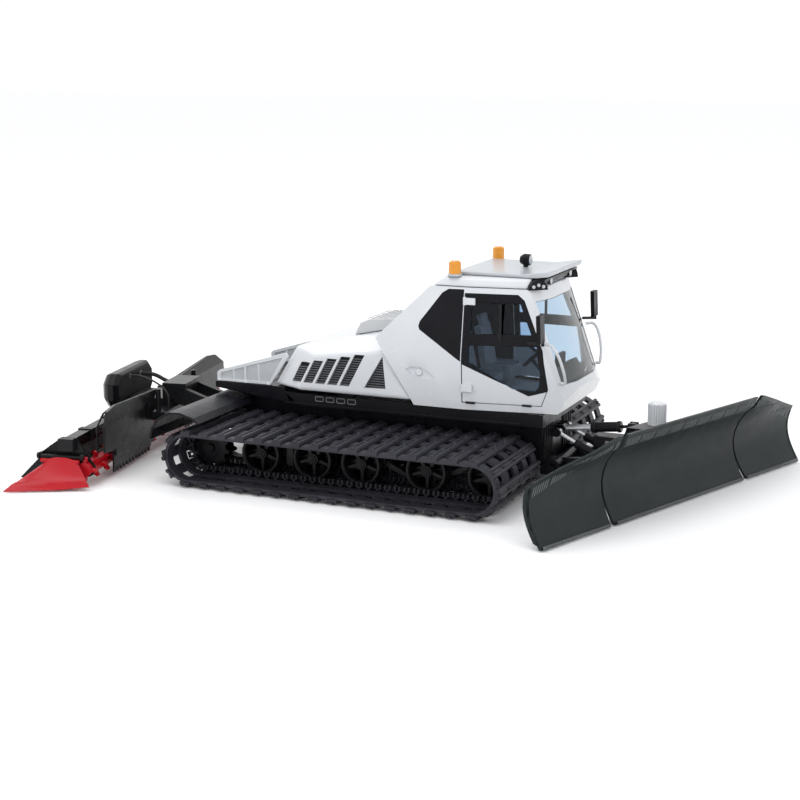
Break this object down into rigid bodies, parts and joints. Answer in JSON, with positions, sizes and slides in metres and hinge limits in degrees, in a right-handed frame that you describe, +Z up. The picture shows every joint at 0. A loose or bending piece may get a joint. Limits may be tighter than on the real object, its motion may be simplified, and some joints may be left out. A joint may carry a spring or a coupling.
{
  "type": "toy snow groomer with front blade and rear tiller",
  "caption": "Toy tracked snow groomer with a cab whose doors open, a front blade that lifts, swivels and folds, and a rear tiller that lifts and swings.",
  "frame": {"origin": "centre of the bounding box at ground level, under the track shoes", "axes": "+X forward, towards the blade, +Y to the left of the machine, +Z up"},
  "size_m": [0.607, 0.3558, 0.1789],
  "materials": {
    "body_white": "gloss",
    "roof_silver": "satin",
    "beacon_amber": "gloss",
    "cab_glass": "gloss",
    "track_grey": "satin",
    "tiller_red": "satin",
    "blade_green_black": "satin",
    "rod_silver": "satin",
    "cylinder_black": "satin",
    "hose_black": "satin",
    "seat_grey": "matte",
    "step_grey": "matte",
    "black_plastic": "satin"
  },
  "bodies": {
    "vehicle": {"beacon_left": "beacon_amber", "beacon_right": "beacon_amber", "cab_roof": "body_white", "cab_shell": "body_white", "dashboard": "black_plastic", "engine_hood": "body_white", "grab_handle_left": "body_white", "grab_handle_right": "body_white", "hood_step": "step_grey", "hull": "black_plastic", "idler_left": "black_plastic", "idler_right": "black_plastic", "load_rack_left": "body_white", "load_rack_right": "body_white", "mirror_left": "black_plastic", "mirror_right": "black_plastic", "rear_deck": "black_plastic", "rear_window": "cab_glass", "road_wheels_left": "black_plastic", "road_wheels_right": "black_plastic", "roof_wing": "roof_silver", "seat_left": "seat_grey", "seat_right": "seat_grey", "spotlight": "black_plastic", "sprocket_left": "black_plastic", "sprocket_right": "black_plastic", "track_guard_left": "black_plastic", "track_guard_right": "black_plastic", "track_left": "track_grey", "track_right": "track_grey", "windscreen": "cab_glass"},
    "push_frame": {"push_frame": "black_plastic"},
    "lift_barrels": {"lift_barrel_left": "cylinder_black", "lift_barrel_right": "cylinder_black"},
    "lift_rods": {"lift_rod_left": "rod_silver", "lift_rod_right": "rod_silver"},
    "tilt_barrel": {"tilt_barrel": "cylinder_black"},
    "tilt_rod": {"tilt_rod": "rod_silver"},
    "blade": {"blade_carrier": "black_plastic", "blade_centre": "blade_green_black", "swivel_knob": "body_white"},
    "blade_wing_left": {"blade_wing_left": "blade_green_black"},
    "blade_wing_right": {"blade_wing_right": "blade_green_black"},
    "door_left": {"door_left": "body_white", "door_glass_left": "cab_glass"},
    "door_right": {"door_right": "body_white", "door_glass_right": "cab_glass"},
    "swing_frame": {"swing_frame": "black_plastic"},
    "tiller": {"tiller_frame": "black_plastic", "tiller_guard_left": "black_plastic", "tiller_guard_right": "black_plastic", "tiller_housing": "black_plastic", "tiller_comb": "black_plastic", "motor_cover": "black_plastic", "hose_ribbed": "hose_black", "hose_braided": "hose_black"},
    "tiller_shaft": {"tiller_shaft": "tiller_red"},
    "side_finisher_left": {"side_finisher_left": "tiller_red"},
    "side_finisher_right": {"side_finisher_right": "tiller_red"}
  },
  "joints": [
    {"name": "blade_lift", "type": "hinge", "parent": "vehicle", "child": "push_frame", "pos_m": [0.1469, 0.0234, 0.02], "axis": [0, -1, 0], "range_deg": [0, 18]},
    {"name": "lift_barrel_pivot", "type": "hinge", "parent": "push_frame", "child": "lift_barrels", "pos_m": [0.1819, 0.0234, 0.024], "axis": [0, -1, 0], "range_deg": [-6, 0.5]},
    {"name": "lift_rod_slide", "type": "slide", "parent": "lift_barrels", "child": "lift_rods", "axis": [-0.8944, 0, 0.4472], "range_m": [-0.0068, 0]},
    {"name": "tilt_barrel_pivot", "type": "hinge", "parent": "push_frame", "child": "tilt_barrel", "pos_m": [0.1999, 0.0234, 0.05], "axis": [0, -1, 0], "range_deg": [-0.5, 2]},
    {"name": "tilt_rod_slide", "type": "slide", "parent": "tilt_barrel", "child": "tilt_rod", "axis": [-0.9943, 0, -0.1065], "range_m": [-0.008, 0]},
    {"name": "blade_swivel", "type": "hinge", "parent": "push_frame", "child": "blade", "pos_m": [0.1894, 0.0234, 0.03], "axis": [0, 0, 1], "range_deg": [-10, 50]},
    {"name": "blade_wing_left_fold", "type": "hinge", "parent": "blade", "child": "blade_wing_left", "pos_m": [0.2599, 0.09139, 0.03], "axis": [0, 0, -1], "range_deg": [-10, 10]},
    {"name": "blade_wing_right_fold", "type": "hinge", "parent": "blade", "child": "blade_wing_right", "pos_m": [0.19971, -0.074, 0.03], "axis": [0, 0, 1], "range_deg": [-10, 10]},
    {"name": "door_left_hinge", "type": "hinge", "parent": "vehicle", "child": "door_left", "pos_m": [0.0798, 0.084, 0.112], "axis": [0, 0, 1], "range_deg": [0, 65]},
    {"name": "door_right_hinge", "type": "hinge", "parent": "vehicle", "child": "door_right", "pos_m": [0.0798, -0.0372, 0.112], "axis": [0, 0, -1], "range_deg": [0, 65]},
    {"name": "tiller_swing", "type": "hinge", "parent": "vehicle", "child": "swing_frame", "pos_m": [-0.1391, 0.0234, 0.036], "axis": [0, 0, 1], "range_deg": [-25, 5]},
    {"name": "tiller_lift", "type": "hinge", "parent": "swing_frame", "child": "tiller", "pos_m": [-0.15289, 0.02097, 0.036], "axis": [-0.1736, 0.9848, 0], "range_deg": [0, 25]},
    {"name": "tiller_shaft_spin", "type": "hinge", "parent": "tiller", "child": "tiller_shaft", "pos_m": [-0.21985, 0.00916, 0.013], "axis": [-0.1736, 0.9848, 0], "continuous": true},
    {"name": "side_finisher_left_fold", "type": "hinge", "parent": "tiller", "child": "side_finisher_left", "pos_m": [-0.26435, 0.1521, 0.023], "axis": [0.9848, 0.1736, 0], "range_deg": [0, 90]},
    {"name": "side_finisher_right_fold", "type": "hinge", "parent": "tiller", "child": "side_finisher_right", "pos_m": [-0.21278, -0.14038, 0.023], "axis": [-0.9848, -0.1736, 0], "range_deg": [0, 90]}
  ],
  "couplings": [
    {"joint": "lift_barrel_pivot", "follows": "blade_lift", "ratio": -0.28},
    {"joint": "lift_rod_slide", "follows": "blade_lift", "m_per_rad": -0.0204},
    {"joint": "tilt_barrel_pivot", "follows": "blade_lift", "ratio": 0.055},
    {"joint": "tilt_rod_slide", "follows": "blade_lift", "m_per_rad": -0.0241}
  ]
}
